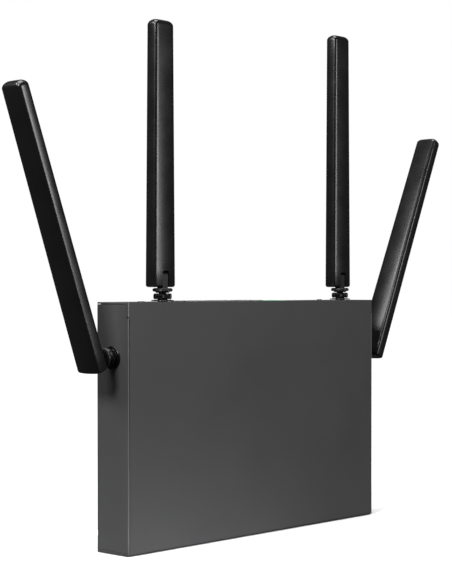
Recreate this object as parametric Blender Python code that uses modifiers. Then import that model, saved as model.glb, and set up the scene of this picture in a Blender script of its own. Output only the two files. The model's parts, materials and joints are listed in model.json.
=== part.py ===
"""Optical network terminal with four folding paddle antennas.

Metres, +Z up. The case stands on its bottom edge, its plain face looks towards -Y,
and X = 0, Y = 0, Z = 0 is the middle of the case's bottom edge.
"""
import math

import bmesh
import bpy
from mathutils import Matrix, Quaternion, Vector

MM = 0.001

# Case
WIDTH = 226 * MM
DEPTH = 27 * MM
HEIGHT = 145 * MM
SHEET = 1.0 * MM
GAP = 0.3 * MM
PAN_BEND = 1.2 * MM
COVER_BEND = 1.2 * MM
EDGE_ROUND = 0.45 * MM
EAR_HEIGHT = 8.5 * MM
RELIEF_RADIUS = 0.7 * MM
NOTCH_BOTTOM = 9.6 * MM
NOTCH_HEIGHT = 2.8 * MM
NOTCH_DEPTH = 1.0 * MM
PANEL_FLANGE = 9.0 * MM
VENT_COLUMNS = 10
VENT_PITCH = 9.0 * MM
VENT_WIDTH = 2.4 * MM
VENT_LENGTH = 16.0 * MM
VENT_ROWS = (46 * MM, 70 * MM)

HALF_WIDTH = WIDTH / 2
FRONT = -DEPTH / 2
BACK = DEPTH / 2
SIDE_INNER = HALF_WIDTH - SHEET
BACK_INNER = BACK - SHEET
PANEL_UNDER = HEIGHT - SHEET
COVER_SCREWS = {"left": -48 * MM, "right": 48 * MM}
COVER_SCREW_Z = HEIGHT - 5.5 * MM

# Main board
BOARD_THICKNESS = 1.6 * MM
BOARD_FACE = 6.9 * MM
BOARD_BACK = BOARD_FACE + BOARD_THICKNESS
BOARD_HALF_WIDTH = 97 * MM
BOARD_BOTTOM = 9 * MM
BOARD_TOP = 140 * MM
PART_SEAT = BOARD_FACE - GAP
BOSS_RADIUS = 3.2 * MM
BOSS_BORE = 1.8 * MM
BOSS_BORE_DEPTH = 3.0 * MM
BOARD_SCREWS = {
    "lower_left": (-90 * MM, 18 * MM),
    "lower_right": (90 * MM, 18 * MM),
    "upper_left": (-66 * MM, 96 * MM),
    "upper_right": (66 * MM, 96 * MM),
}
SCREW_SHANK = 1.4 * MM
SCREW_HEAD = 2.7 * MM
SCREW_HEAD_HEIGHT = 1.2 * MM
SCREW_LENGTH = 4.0 * MM

# Port panel, from left to right
POWER_JACK_X = -102 * MM
POWER_BUTTON_X = -90 * MM
SOCKETS_LEFT = -59 * MM
SOCKETS_RIGHT = 9.5 * MM
OPTICAL_X = 24 * MM
USB_X = 46 * MM
PAIRING_X = 73.5 * MM
RESET_X = 81 * MM
PORT_FLOOR = 124 * MM
SOCKET_COUNT = 4
SOCKET_SIZE = (11.8 * MM, 7.0 * MM, 15.0 * MM)
SOCKET_MIDDLE_Y = 0.4 * MM
LATCH_SIZE = (6.2 * MM, 2.4 * MM)
SOCKETS_FRONT = -6.9 * MM
SOCKETS_PROUD = 0.5 * MM
BUTTON_Y = 0.0
POWER_BUTTON_RADIUS = 2.25 * MM
POWER_BUTTON_PROUD = 0.4 * MM
POWER_BUTTON_LENGTH = 6.0 * MM
PAIRING_RADIUS = 1.65 * MM
PAIRING_PROUD = 0.6 * MM
PAIRING_LENGTH = 5.6 * MM
RESET_RADIUS = 1.1 * MM
RESET_PROUD = -1.6 * MM
RESET_LENGTH = 3.6 * MM
BUTTON_ROOM = 0.8 * MM
POWER_JACK_Y = 1.0 * MM
POWER_JACK_MOUTH = 4.6 * MM
POWER_JACK_HALF = 5.2 * MM
POWER_JACK_BORE = 3.2 * MM
POWER_JACK_PIN = 1.0 * MM
OPTICAL_LEFT = OPTICAL_X - 8.6 * MM
OPTICAL_RIGHT = OPTICAL_X + 8.6 * MM
OPTICAL_FRONT = -6.0 * MM
OPTICAL_PROUD = 0.2 * MM
OPTICAL_FLOOR = 120 * MM
PLUG_SIZE = (9.4 * MM, 7.4 * MM, 10 * MM)
USB_LEFT = USB_X - 6.8 * MM
USB_RIGHT = USB_X + 6.8 * MM
USB_FRONT = -0.6 * MM
USB_DEPTH = 14 * MM
USB_WALL = 0.7 * MM
USB_TONGUE = 1.8 * MM
POWER_JACK_DEPTH = 10 * MM
POWER_JACK_FLOOR = 130 * MM
SWITCH_FLOOR = 132 * MM
POWER_SWITCH_HALF = 4.2 * MM
PAIRING_SWITCH_HALF = 3.0 * MM
RESET_SWITCH_HALF = 2.6 * MM

# Antennas
TOP_ANTENNA_LEFT_X = -72.5 * MM
TOP_ANTENNA_RIGHT_X = 95.2 * MM
SIDE_ANTENNA_Z = 113.0 * MM
LEFT_FOLD = math.radians(70.2)
RIGHT_FOLD = math.radians(65.4)
PANEL_HOLE = 3.4 * MM
JACK_RADIUS = 3.1 * MM
JACK_FLANGE = 4.6 * MM
JACK_DEPTH = 14.0 * MM
FERRULE_RADIUS = 1.6 * MM
COLLAR_RADIUS = 5.5 * MM
COLLAR_TOP = 4.9 * MM
NECK_RADIUS = 4.1 * MM
RING_RADIUS = 6.0 * MM
RING_BOTTOM = 5.9 * MM
RING_TOP = 8.1 * MM
PIVOT_HEIGHT = 15.6 * MM
PADDLE_BELOW_PIVOT = 7.0 * MM
LONG_REACH = 162.3 * MM
SHORT_REACH = 151.8 * MM
PADDLE_WIDTH = 18.5 * MM
PADDLE_THICKNESS = 9.7 * MM
PADDLE_TAPER = 0.865
PADDLE_OFFSET = 1.8 * MM
PADDLE_CORNER = 2.0 * MM
TIP_ROUND = 3.2 * MM
FOOT_ROUND = 1.2 * MM
TONGUE_WIDTH = 4.5 * MM
TONGUE_RADIUS = 2.4 * MM
SLOT_CLEARANCE = 0.4 * MM
TRUNNION_RADIUS = 1.5 * MM
TRUNNION_HALF = 4.7 * MM
CAVITY_HALF_WIDTH = 5.0 * MM
CAVITY_HALF_DEPTH = 2.2 * MM
CAVITY_BOTTOM = 9.0 * MM
CAVITY_END_WALL = 9.0 * MM
CHANNEL_RADIUS = 1.2 * MM
RADIATOR_SIZE = (9.4 * MM, 0.8 * MM, 122 * MM)
CABLE_RADIUS = 0.6 * MM
PLUG_RADIUS = 1.5 * MM

FOOT_RADIUS = 6.0 * MM
FOOT_HEIGHT = 2.0 * MM
LED_COUNT = 8
LED_FIRST_X = 22 * MM
LED_PITCH = 10 * MM
LED_Y = 4.0 * MM
LED_WINDOW = 1.5 * MM
LED_PRONG = 1.2 * MM

ROUND_STEPS = 24
SMALL_STEPS = 16
COARSE_STEPS = 12
MERGE_DISTANCE = 0.00001

FINISHES = {
    "grey_paint": ((0.060, 0.060, 0.062, 1), 0.50, 0.35),
    "black_plastic": ((0.008, 0.008, 0.009, 1), 0.32, 0.0),
    "black_metal": ((0.014, 0.014, 0.015, 1), 0.28, 0.9),
    "brass": ((0.72, 0.54, 0.24, 1), 0.30, 1.0),
    "bare_metal": ((0.62, 0.62, 0.62, 1), 0.30, 1.0),
    "green_board": ((0.02, 0.10, 0.05, 1), 0.45, 0.0),
    "green_plastic": ((0.03, 0.28, 0.12, 1), 0.40, 0.0),
    "clear_plastic": ((0.80, 0.82, 0.80, 1), 0.20, 0.0),
    "black_rubber": ((0.012, 0.012, 0.012, 1), 0.85, 0.0),
    "grey_metal": ((0.30, 0.30, 0.31, 1), 0.40, 0.9),
}


def clear_scene():
    for obj in list(bpy.data.objects):
        bpy.data.objects.remove(obj, do_unlink=True)


def make_collection(name):
    collection = bpy.data.collections.new(name)
    bpy.context.scene.collection.children.link(collection)
    return collection


clear_scene()
PARTS = make_collection("optical_network_terminal")
CUTTERS = make_collection("cutters")


def make_material(name, finish):
    color, roughness, metallic = FINISHES[finish]
    material = bpy.data.materials.new(name)
    material.use_nodes = True
    shader = material.node_tree.nodes["Principled BSDF"]
    shader.inputs["Base Color"].default_value = color
    shader.inputs["Roughness"].default_value = roughness
    shader.inputs["Metallic"].default_value = metallic
    material.diffuse_color = color
    return material


def add_object(name, data, finish=None):
    """A finished part when it has a finish, otherwise a hidden tool."""
    obj = bpy.data.objects.new(name, data)
    if finish:
        PARTS.objects.link(obj)
        data.materials.append(make_material(name, finish))
    else:
        CUTTERS.objects.link(obj)
        obj.hide_render = True
        obj.display_type = "WIRE"
    return obj


def box(name, low, high, finish=None):
    low = Vector(low)
    high = Vector(high)
    bm = bmesh.new()
    bmesh.ops.create_cube(bm, size=1.0, matrix=Matrix.Diagonal((*(high - low), 1)))
    mesh = bpy.data.meshes.new(name)
    bm.to_mesh(mesh)
    bm.free()
    obj = add_object(name, mesh, finish)
    obj.location = (low + high) / 2
    return obj


def boxes(name, bounds):
    """One cutter of several separate boxes."""
    bm = bmesh.new()
    for low, high in bounds:
        low = Vector(low)
        high = Vector(high)
        place = Matrix.Translation((low + high) / 2) @ Matrix.Diagonal((*(high - low), 1))
        bmesh.ops.create_cube(bm, size=1.0, matrix=place)
    mesh = bpy.data.meshes.new(name)
    bm.to_mesh(mesh)
    bm.free()
    return add_object(name, mesh)


def aim(direction):
    """The rotation that turns +Z to a direction."""
    return Vector((0, 0, 1)).rotation_difference(Vector(direction))


def cylinder(name, start, direction, length, radius, finish=None, steps=ROUND_STEPS):
    bm = bmesh.new()
    bmesh.ops.create_cone(
        bm,
        cap_ends=True,
        segments=steps,
        radius1=radius,
        radius2=radius,
        depth=length,
        matrix=Matrix.Translation((0, 0, length / 2)),
    )
    mesh = bpy.data.meshes.new(name)
    bm.to_mesh(mesh)
    bm.free()
    obj = add_object(name, mesh, finish)
    obj.location = start
    obj.rotation_mode = "QUATERNION"
    obj.rotation_quaternion = aim(direction)
    return obj


def turned(name, profile, finish=None, closed=False, steps=ROUND_STEPS):
    """A profile of (radius, height) points, from the top down, turned about Z."""
    mesh = bpy.data.meshes.new(name)
    edges = [(i, i + 1) for i in range(len(profile) - 1)]
    if closed:
        edges.append((len(profile) - 1, 0))
    mesh.from_pydata([(radius, 0, height) for radius, height in profile], edges, [])
    obj = add_object(name, mesh, finish)
    screw = obj.modifiers.new("Turn", "SCREW")
    screw.axis = "Z"
    screw.angle = math.tau
    screw.steps = steps
    screw.render_steps = steps
    screw.use_merge_vertices = True
    screw.merge_threshold = MERGE_DISTANCE
    screw.use_smooth_shade = True
    return obj


def outline_prism(name, outline, length, finish=None):
    """A flat closed outline in XY, raised along +Z."""
    curve = bpy.data.curves.new(name, "CURVE")
    curve.dimensions = "2D"
    curve.fill_mode = "BOTH"
    curve.extrude = length / 2
    spline = curve.splines.new("POLY")
    spline.points.add(len(outline) - 1)
    for point, (x, y) in zip(spline.points, outline):
        point.co = (x, y, 0, 1)
    spline.use_cyclic_u = True
    holder = bpy.data.objects.new(name + "_outline", curve)
    CUTTERS.objects.link(holder)
    mesh = bpy.data.meshes.new_from_object(holder)
    bpy.data.objects.remove(holder)
    bm = bmesh.new()
    bm.from_mesh(mesh)
    bmesh.ops.remove_doubles(bm, verts=bm.verts, dist=MERGE_DISTANCE)
    bmesh.ops.translate(bm, verts=bm.verts, vec=(0, 0, length / 2))
    bm.to_mesh(mesh)
    bm.free()
    mesh.name = name
    return add_object(name, mesh, finish)


def tube_mesh(name, points, radius):
    """A closed round tube along a smooth route."""
    curve = bpy.data.curves.new(name, "CURVE")
    curve.dimensions = "3D"
    curve.bevel_depth = radius
    curve.bevel_resolution = 2
    curve.use_fill_caps = True
    spline = curve.splines.new("POLY")
    spline.points.add(len(points) - 1)
    for point, place in zip(spline.points, points):
        point.co = (*place, 1)
    holder = bpy.data.objects.new(name + "_route", curve)
    CUTTERS.objects.link(holder)
    mesh = bpy.data.meshes.new_from_object(holder)
    bpy.data.objects.remove(holder)
    bm = bmesh.new()
    bm.from_mesh(mesh)
    bmesh.ops.remove_doubles(bm, verts=bm.verts, dist=MERGE_DISTANCE)
    bm.to_mesh(mesh)
    bm.free()
    return mesh


def combine(obj, tool, operation):
    modifier = obj.modifiers.new(tool.name, "BOOLEAN")
    modifier.operation = operation
    modifier.solver = "EXACT"
    modifier.object = tool
    if tool.name in CUTTERS.objects:
        tool.hide_set(True)


def cut(obj, *tools):
    for tool in tools:
        combine(obj, tool, "DIFFERENCE")


def fuse(obj, *tools):
    for tool in tools:
        combine(obj, tool, "UNION")


def bevel_edges(obj, width, segments, chosen):
    """Rounds the edges of a plain mesh for which chosen(a, b) is true."""
    bm = bmesh.new()
    bm.from_mesh(obj.data)
    edges = [e for e in bm.edges if chosen(e.verts[0].co, e.verts[1].co)]
    bmesh.ops.bevel(
        bm,
        geom=edges,
        offset=width,
        segments=segments,
        profile=0.5,
        affect="EDGES",
        clamp_overlap=True,
    )
    bm.to_mesh(obj.data)
    bm.free()


def attach(obj, parent):
    """Puts a part in its parent's own space."""
    obj.parent = parent
    return obj


def empty(name, location, rotation, parent=None):
    obj = bpy.data.objects.new(name, None)
    PARTS.objects.link(obj)
    obj.empty_display_size = 8 * MM
    obj.location = location
    obj.rotation_mode = "QUATERNION"
    obj.rotation_quaternion = rotation
    obj.parent = parent
    return obj


def arc(center, radius, start, end, segments):
    """Points on an arc, angles in degrees."""
    points = []
    for i in range(segments + 1):
        angle = math.radians(start + (end - start) * i / segments)
        points.append((center[0] + radius * math.cos(angle), center[1] + radius * math.sin(angle)))
    return points


# ---------------------------------------------------------------- case


def pan_outline():
    """The folded U of the back and side walls, seen from above."""
    outer = HALF_WIDTH
    inner = SIDE_INNER
    bend = PAN_BEND
    inside = PAN_BEND - SHEET
    lip = SHEET / 2
    tip = FRONT + lip
    points = arc((-outer + lip, tip), lip, 180, 360, 4)
    points += arc((-inner + inside, BACK_INNER - inside), inside, 180, 90, 3)
    points += arc((inner - inside, BACK_INNER - inside), inside, 90, 0, 3)
    points += arc((outer - lip, tip), lip, 180, 360, 4)
    points += arc((outer - bend, BACK - bend), bend, 0, 90, 4)
    points += arc((-outer + bend, BACK - bend), bend, 90, 180, 4)
    return points


def make_chassis_pan():
    bottom = SHEET + GAP
    top = PANEL_UNDER - GAP
    pan = outline_prism("chassis_pan", pan_outline(), top - bottom, "grey_paint")
    pan.location = (0, 0, bottom)
    for label, (x, z) in BOARD_SCREWS.items():
        boss = cylinder(
            "add_boss_" + label,
            (x, BACK_INNER + SHEET / 2, z),
            (0, -1, 0),
            BACK_INNER + SHEET / 2 - BOARD_BACK - GAP,
            BOSS_RADIUS,
            steps=SMALL_STEPS,
        )
        bore = cylinder(
            "cut_boss_bore_" + label,
            (x, BOARD_BACK - GAP, z),
            (0, 1, 0),
            BOSS_BORE_DEPTH + 2 * GAP,
            BOSS_BORE,
            steps=SMALL_STEPS,
        )
        fuse(pan, boss)
        cut(pan, bore)
    for label, side in (("left", -1), ("right", 1)):
        x = side * (HALF_WIDTH + SHEET)
        hole = cylinder(
            "cut_side_hole_" + label, (x, 0, SIDE_ANTENNA_Z), (-side, 0, 0), 4 * SHEET, PANEL_HOLE
        )
        ear_low = (min(side * (HALF_WIDTH + SHEET), side * (SIDE_INNER - SHEET)), FRONT - SHEET)
        ear_high = (max(side * (HALF_WIDTH + SHEET), side * (SIDE_INNER - SHEET)), FRONT + SHEET + GAP)
        ear_room = box(
            "cut_ear_room_" + label,
            (*ear_low, HEIGHT - EAR_HEIGHT - GAP),
            (*ear_high, HEIGHT + SHEET),
        )
        relief = cylinder(
            "cut_relief_" + label,
            (x, FRONT + SHEET, HEIGHT - EAR_HEIGHT - GAP),
            (-side, 0, 0),
            4 * SHEET,
            RELIEF_RADIUS,
            steps=COARSE_STEPS,
        )
        notch_x = sorted((side * (HALF_WIDTH + SHEET), side * (SIDE_INNER - 2 * SHEET)))
        notch = box(
            "cut_notch_" + label,
            (notch_x[0], BACK - NOTCH_DEPTH, NOTCH_BOTTOM),
            (notch_x[1], BACK + SHEET, NOTCH_BOTTOM + NOTCH_HEIGHT),
        )
        cut(pan, hole, ear_room, relief, notch)
    vents = []
    for row in VENT_ROWS:
        for i in range(VENT_COLUMNS):
            x = (i - (VENT_COLUMNS - 1) / 2) * VENT_PITCH
            low = (x - VENT_WIDTH / 2, BACK_INNER - SHEET, row)
            vents.append((low, (x + VENT_WIDTH / 2, BACK + SHEET, row + VENT_LENGTH)))
    cut(pan, boxes("cut_vents", vents))
    for label, x in COVER_SCREWS.items():
        cut(
            pan,
            cylinder(
                "cut_cover_screw_" + label,
                (x, BACK + SHEET, COVER_SCREW_Z),
                (0, -1, 0),
                3 * SHEET,
                BOSS_BORE,
                steps=SMALL_STEPS,
            ),
        )
    return pan


def make_front_cover():
    """The plain face and the bottom return, one folded sheet with an ear at each top corner."""
    bend = COVER_BEND
    inside = COVER_BEND - SHEET
    profile = [(FRONT, HEIGHT)]
    profile += arc((FRONT + bend, bend), bend, 180, 270, 4)
    profile += [(BACK, 0), (BACK, SHEET)]
    profile += arc((FRONT + SHEET + inside, SHEET + inside), inside, 270, 180, 2)
    profile += [(FRONT + SHEET, HEIGHT)]
    cover = outline_prism("front_cover", profile, WIDTH, "grey_paint")
    # the outline's X is the case's Y and its Y is the case's Z
    turn = Matrix(((0, 0, 1), (1, 0, 0), (0, 1, 0)))
    cover.location = (-HALF_WIDTH, 0, 0)
    cover.rotation_mode = "QUATERNION"
    cover.rotation_quaternion = turn.to_quaternion()
    for label, side in (("left", -1), ("right", 1)):
        xs = sorted((side * (SIDE_INNER - GAP), side * (HALF_WIDTH + SHEET)))
        wall_room = box(
            "cut_wall_room_" + label,
            (xs[0], FRONT - SHEET, SHEET),
            (xs[1], FRONT + 3 * SHEET, HEIGHT - EAR_HEIGHT),
        )
        cut(cover, wall_room)
    windows = [
        cylinder(
            f"cut_led_window_{i + 1}",
            (LED_FIRST_X + i * LED_PITCH, LED_Y, -SHEET),
            (0, 0, 1),
            3 * SHEET,
            LED_WINDOW,
            steps=COARSE_STEPS,
        )
        for i in range(LED_COUNT)
    ]
    cut(cover, *windows)
    return cover


def make_port_panel():
    """The top strip, with a flange down behind the front and one down inside the back wall."""
    front = FRONT + SHEET + GAP
    rear = BACK_INNER - GAP
    flange_bottom = PANEL_UNDER - PANEL_FLANGE
    flange_top = HEIGHT - SHEET / 2
    flange_end = SIDE_INNER - PAN_BEND
    panel = box(
        "port_panel", (-HALF_WIDTH, front, PANEL_UNDER), (HALF_WIDTH, BACK, HEIGHT), "grey_paint"
    )
    bevel_edges(panel, EDGE_ROUND, 2, lambda a, b: min(a.z, b.z) > 0)
    for label, y in (("front", front + EDGE_ROUND), ("rear", rear - SHEET)):
        flange = box(
            "add_flange_" + label,
            (-flange_end, y, flange_bottom),
            (flange_end, y + SHEET, flange_top),
        )
        fuse(panel, flange)
    for label, x in (("left", TOP_ANTENNA_LEFT_X), ("right", TOP_ANTENNA_RIGHT_X)):
        cut(panel, panel_hole("cut_antenna_hole_" + label, x, 0, PANEL_HOLE))
    cut(
        panel,
        panel_hole("cut_power_button_hole", POWER_BUTTON_X, BUTTON_Y, POWER_BUTTON_RADIUS + GAP),
        panel_hole("cut_pairing_hole", PAIRING_X, BUTTON_Y, PAIRING_RADIUS + GAP),
        panel_hole("cut_reset_hole", RESET_X, BUTTON_Y, RESET_RADIUS + GAP),
        panel_hole("cut_power_jack_hole", POWER_JACK_X, POWER_JACK_Y, POWER_JACK_MOUTH),
        panel_window("cut_sockets_window", SOCKETS_LEFT, SOCKETS_RIGHT, SOCKETS_FRONT, PART_SEAT),
        panel_window("cut_optical_window", OPTICAL_LEFT, OPTICAL_RIGHT, OPTICAL_FRONT, PART_SEAT),
        panel_window("cut_usb_window", USB_LEFT, USB_RIGHT, USB_FRONT, PART_SEAT),
    )
    for label, x in COVER_SCREWS.items():
        start = (x, BACK, COVER_SCREW_Z)
        cut(
            panel,
            cylinder(
                "cut_flange_hole_" + label, start, (0, -1, 0), 4 * SHEET, BOSS_BORE, steps=SMALL_STEPS
            ),
        )
    return panel


def panel_hole(name, x, y, radius):
    return cylinder(name, (x, y, PANEL_UNDER - SHEET), (0, 0, 1), 3 * SHEET, radius)


def panel_window(name, left, right, front, back):
    return box(
        name,
        (left - GAP, front - GAP, PANEL_UNDER - SHEET),
        (right + GAP, back + GAP, HEIGHT + SHEET),
    )


def screw(name, seat, direction, length):
    """A pan-head screw whose head sits on seat and whose shank runs along direction."""
    head = SCREW_HEAD_HEIGHT
    dome = 0.35 * MM
    profile = [
        (0, head),
        (SCREW_HEAD - 2 * dome, head),
        (SCREW_HEAD, head - 2 * dome),
        (SCREW_HEAD, 0),
        (SCREW_SHANK, 0),
        (SCREW_SHANK, -length + dome),
        (SCREW_SHANK - dome, -length),
        (0, -length),
    ]
    obj = turned(name, profile, "bare_metal", steps=SMALL_STEPS)
    obj.location = seat
    obj.rotation_mode = "QUATERNION"
    obj.rotation_quaternion = aim(-Vector(direction))
    arm = SCREW_HEAD * 0.62
    bit = 0.35 * MM
    deep = 0.6 * MM
    cross = box("cut_cross_a_" + name, (-arm, -bit, head - deep), (arm, bit, head + SHEET))
    other = box("cut_cross_b_" + name, (-bit, -arm, head - deep), (bit, arm, head + SHEET))
    attach(cross, obj)
    attach(other, obj)
    cut(obj, cross, other)
    return obj


def make_case_fasteners():
    for label, (x, z) in BOARD_SCREWS.items():
        screw("board_screw_" + label, (x, BOARD_FACE - GAP, z), (0, 1, 0), SCREW_LENGTH)
    for label, x in COVER_SCREWS.items():
        screw("cover_screw_" + label, (x, BACK + GAP, COVER_SCREW_Z), (0, -1, 0), SCREW_LENGTH)


def make_feet():
    inset_x = 95 * MM
    heights = {"lower": 14 * MM, "upper": 122 * MM}
    edge = 0.6 * MM
    for row, z in heights.items():
        for label, side in (("left", -1), ("right", 1)):
            profile = [
                (0, FOOT_HEIGHT),
                (FOOT_RADIUS - edge, FOOT_HEIGHT),
                (FOOT_RADIUS, FOOT_HEIGHT - edge),
                (FOOT_RADIUS, 0),
                (0, 0),
            ]
            foot = turned(f"rubber_foot_{row}_{label}", profile, "black_rubber")
            foot.location = (side * inset_x, BACK + GAP, z)
            foot.rotation_mode = "QUATERNION"
            foot.rotation_quaternion = aim((0, 1, 0))


# ---------------------------------------------------------------- board and ports


def make_board():
    board = box(
        "main_board",
        (-BOARD_HALF_WIDTH, BOARD_FACE, BOARD_BOTTOM),
        (BOARD_HALF_WIDTH, BOARD_BACK, BOARD_TOP),
        "green_board",
    )
    holes = [
        cylinder(
            "cut_board_hole_" + label, (x, BOARD_FACE - SHEET, z), (0, 1, 0), 4 * SHEET, BOSS_BORE,
            steps=SMALL_STEPS,
        )
        for label, (x, z) in BOARD_SCREWS.items()
    ]
    cut(board, *holes)


def make_socket_block():
    top = HEIGHT + SOCKETS_PROUD
    block = box(
        "network_jack_block",
        (SOCKETS_LEFT, SOCKETS_FRONT, PORT_FLOOR),
        (SOCKETS_RIGHT, PART_SEAT, top),
        "bare_metal",
    )
    pitch = (SOCKETS_RIGHT - SOCKETS_LEFT) / SOCKET_COUNT
    width, height, depth = SOCKET_SIZE
    latch_width, latch_height = LATCH_SIZE
    low_y = SOCKET_MIDDLE_Y - height / 2
    high_y = SOCKET_MIDDLE_Y + height / 2
    mouths = []
    latches = []
    for i in range(SOCKET_COUNT):
        x = SOCKETS_LEFT + (i + 0.5) * pitch
        mouths.append(((x - width / 2, low_y, top - depth), (x + width / 2, high_y, top + SHEET)))
        latches.append(
            (
                (x - latch_width / 2, low_y - latch_height, top - depth),
                (x + latch_width / 2, low_y + SHEET, top + SHEET),
            )
        )
    cut(block, boxes("cut_socket_mouths", mouths), boxes("cut_socket_latches", latches))


def make_optical_port():
    top = HEIGHT + OPTICAL_PROUD
    width, thickness, depth = PLUG_SIZE
    middle_y = (OPTICAL_FRONT + PART_SEAT) / 2
    receptacle = box(
        "optical_receptacle",
        (OPTICAL_LEFT, OPTICAL_FRONT, OPTICAL_FLOOR),
        (OPTICAL_RIGHT, PART_SEAT, top),
        "green_plastic",
    )
    room = box(
        "cut_receptacle_mouth",
        (OPTICAL_X - width / 2 - GAP, middle_y - thickness / 2 - GAP, top - depth - 2 * GAP),
        (OPTICAL_X + width / 2 + GAP, middle_y + thickness / 2 + GAP, top + SHEET),
    )
    cut(receptacle, room)
    plug = box(
        "optical_dust_plug",
        (OPTICAL_X - width / 2, middle_y - thickness / 2, top - depth),
        (OPTICAL_X + width / 2, middle_y + thickness / 2, top),
        "black_rubber",
    )
    bevel_edges(plug, 0.8 * MM, 2, lambda a, b: abs(a.z - b.z) > depth / 2)
    pull = box(
        "cut_plug_grip",
        (OPTICAL_X - width / 3, middle_y - thickness / 4, top - 2 * MM),
        (OPTICAL_X + width / 3, middle_y + thickness / 4, top + SHEET),
    )
    rib = box(
        "add_plug_rib",
        (OPTICAL_X - width / 3 - SHEET, middle_y - SHEET / 2, top - 3 * MM),
        (OPTICAL_X + width / 3 + SHEET, middle_y + SHEET / 2, top - OPTICAL_PROUD),
    )
    cut(plug, pull)
    fuse(plug, rib)
    box(
        "optical_transceiver",
        (OPTICAL_LEFT + SHEET, OPTICAL_FRONT + 2 * MM, OPTICAL_FLOOR - 26 * MM),
        (OPTICAL_RIGHT - SHEET, PART_SEAT, OPTICAL_FLOOR - GAP),
        "grey_metal",
    )


def make_usb_port():
    depth = USB_DEPTH
    wall = USB_WALL
    port = box("usb_port", (USB_LEFT, USB_FRONT, PORT_FLOOR), (USB_RIGHT, PART_SEAT, HEIGHT), "bare_metal")
    mouth = box(
        "cut_usb_mouth",
        (USB_LEFT + wall, USB_FRONT + wall, HEIGHT - depth),
        (USB_RIGHT - wall, PART_SEAT - wall, HEIGHT + SHEET),
    )
    bar = box(
        "add_usb_tongue",
        (USB_LEFT + 2 * wall, PART_SEAT - 3 * wall - USB_TONGUE, HEIGHT - depth - SHEET),
        (USB_RIGHT - 2 * wall, PART_SEAT - 3 * wall, HEIGHT - wall),
    )
    cut(port, mouth)
    fuse(port, bar)


def make_power_jack():
    depth = POWER_JACK_DEPTH
    top = PANEL_UNDER - GAP
    jack = box(
        "power_jack",
        (POWER_JACK_X - POWER_JACK_HALF, POWER_JACK_Y - POWER_JACK_HALF, POWER_JACK_FLOOR),
        (POWER_JACK_X + POWER_JACK_HALF, PART_SEAT, top),
        "black_plastic",
    )
    center = (POWER_JACK_X, POWER_JACK_Y, top - depth)
    bore = cylinder("cut_power_jack_bore", center, (0, 0, 1), depth + SHEET, POWER_JACK_BORE)
    pin = cylinder(
        "add_power_jack_pin",
        (POWER_JACK_X, POWER_JACK_Y, top - depth - SHEET),
        (0, 0, 1),
        depth,
        POWER_JACK_PIN,
        steps=COARSE_STEPS,
    )
    cut(jack, bore)
    fuse(jack, pin)


def make_button(label, x, radius, proud, length, body_half, travel_room, finish):
    """A switch body on the board and the round plunger that runs in it."""
    top = HEIGHT + proud
    bottom = top - length
    body_top = PANEL_UNDER - GAP if proud > 0 else top - length / 2
    body = box(
        label + "_switch",
        (x - body_half, BUTTON_Y - body_half, SWITCH_FLOOR),
        (x + body_half, PART_SEAT, body_top),
        "black_plastic",
    )
    bore = cylinder(
        f"cut_{label}_bore",
        (x, BUTTON_Y, bottom - travel_room),
        (0, 0, 1),
        length + travel_room + SHEET,
        radius + GAP,
    )
    cut(body, bore)
    edge = 0.3 * MM
    profile = [(0, length), (radius - edge, length), (radius, length - edge), (radius, 0), (0, 0)]
    button = turned(label + "_button", profile, finish, steps=SMALL_STEPS)
    button.location = (x, BUTTON_Y, bottom)


def make_buttons():
    make_button(
        "power", POWER_BUTTON_X, POWER_BUTTON_RADIUS, POWER_BUTTON_PROUD, POWER_BUTTON_LENGTH,
        POWER_SWITCH_HALF, BUTTON_ROOM, "black_plastic",
    )
    make_button(
        "pairing", PAIRING_X, PAIRING_RADIUS, PAIRING_PROUD, PAIRING_LENGTH,
        PAIRING_SWITCH_HALF, BUTTON_ROOM, "black_plastic",
    )
    make_button(
        "reset", RESET_X, RESET_RADIUS, RESET_PROUD, RESET_LENGTH,
        RESET_SWITCH_HALF, BUTTON_ROOM, "clear_plastic",
    )


def make_board_parts():
    processor_low = (-36 * MM, 60 * MM)
    processor_size = 20 * MM
    processor_height = 1.6 * MM
    x, z = processor_low
    box(
        "processor",
        (x, PART_SEAT - processor_height, z),
        (x + processor_size, PART_SEAT, z + processor_size),
        "black_plastic",
    )
    make_heatsink(x + processor_size / 2, z + processor_size / 2, PART_SEAT - processor_height - GAP)
    can_low = (12 * MM, PART_SEAT - 3 * MM, 40 * MM)
    can_high = (50 * MM, PART_SEAT, 78 * MM)
    wall = 0.4 * MM
    can = box("radio_shield_can", can_low, can_high, "bare_metal")
    inside = box(
        "cut_can_inside",
        (can_low[0] + wall, can_low[1] + wall, can_low[2] + wall),
        (can_high[0] - wall, can_high[1] + SHEET, can_high[2] - wall),
    )
    cut(can, inside)


def make_heatsink(x, z, seat):
    """A finned block; the comb outline lies in the X and Y plane and is drawn out along Z."""
    size = 32 * MM
    base = 2.0 * MM
    fin_height = 6.0 * MM
    fins = 8
    fin = 1.2 * MM
    step = (size - fin) / (fins - 1)
    tip = -base - fin_height
    outline = []
    for i in reversed(range(fins)):
        left = -size / 2 + i * step
        outline += [(left + fin, -base), (left + fin, tip), (left, tip), (left, -base)]
    # the end fins run straight up into the ends of the base
    outline[0] = (size / 2, 0)
    outline[-1] = (-size / 2, 0)
    heatsink = outline_prism("heatsink", outline, size, "grey_metal")
    heatsink.location = (x, seat, z - size / 2)


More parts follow.
